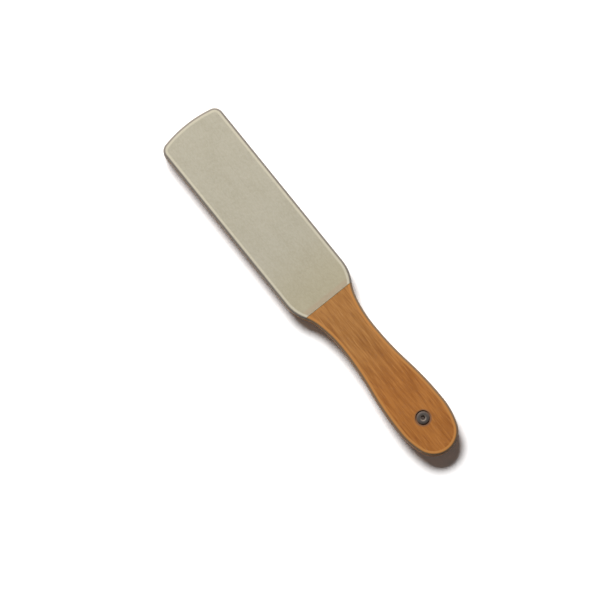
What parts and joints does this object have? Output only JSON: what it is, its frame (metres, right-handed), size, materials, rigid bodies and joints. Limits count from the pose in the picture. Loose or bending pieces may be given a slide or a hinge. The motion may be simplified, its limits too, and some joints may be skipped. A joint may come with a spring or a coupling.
{
  "type": "leather strop",
  "caption": "Flat wooden paddle strop with a leather face let in flush on each side of its blade and a metal hanging eyelet through its handle.",
  "frame": {"origin": "middle of the paddle's length and width, on the rear leather face, which is the face it lies on", "axes": "+X along the paddle from the blade's tip to the handle's end, +Z out of the front leather face"},
  "size_m": [0.304, 0.0528, 0.0123],
  "materials": {
    "wood": "warm orange-brown hardwood under a thin satin varnish, lighter along the rounded edges",
    "suede_leather": "grey-beige split leather, rough side out, with a fine short nap and paler cut edges",
    "smooth_leather": "natural vegetable-tanned leather, smooth grain side out, dry and matt",
    "adhesive": "thin amber layer of contact adhesive",
    "eyelet_metal": "dull aged nickel plate, darker towards its rim"
  },
  "bodies": {
    "root": {"paddle_core": "wood", "front_leather": "suede_leather", "rear_leather": "smooth_leather", "front_adhesive_film": "adhesive", "rear_adhesive_film": "adhesive", "hanging_eyelet": "eyelet_metal", "eyelet_washer": "eyelet_metal"}
  },
  "joints": []
}
